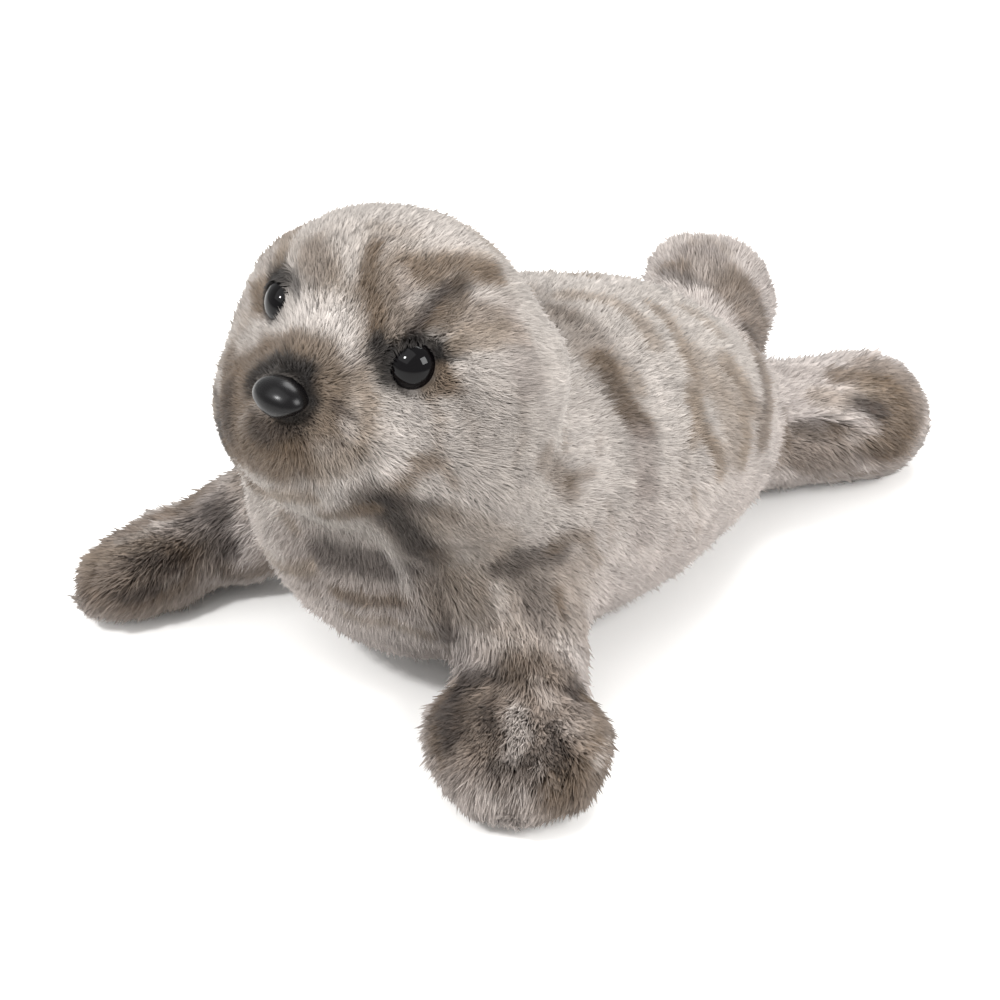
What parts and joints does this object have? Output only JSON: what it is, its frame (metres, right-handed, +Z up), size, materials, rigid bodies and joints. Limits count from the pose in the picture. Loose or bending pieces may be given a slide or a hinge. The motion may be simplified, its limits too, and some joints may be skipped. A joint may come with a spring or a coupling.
{
  "type": "plush seal toy",
  "caption": "Stuffed plush toy of a young grey seal that lies on its belly, head up, with spread flippers, glossy plastic eyes and a moulded nose.",
  "frame": {"origin": "on the floor, in the middle of the outline seen from above", "axes": "-Y the way the head faces, +Y towards the hind flippers, +X the toy's left side, +Z up"},
  "size_m": [0.2258, 0.3288, 0.1766],
  "materials": {
    "light_pile": "pale grey-beige synthetic pile, short and fluffy, with airbrushed brown markings",
    "dark_pile": "the same pile airbrushed dark brown, a little longer on the flippers",
    "eye_plastic": "polished black dome",
    "nose_plastic": "satin black, faintly grained"
  },
  "bodies": {
    "root": {"arm_left": "light_pile", "arm_right": "light_pile", "fore_flipper_left": "dark_pile", "fore_flipper_right": "dark_pile", "head": "light_pile", "hind_flipper_left": "dark_pile", "hind_flipper_right": "dark_pile", "muzzle": "dark_pile", "neck": "light_pile", "trunk": "light_pile", "eye_left": "eye_plastic", "eye_right": "eye_plastic", "nose": "nose_plastic"}
  },
  "joints": []
}
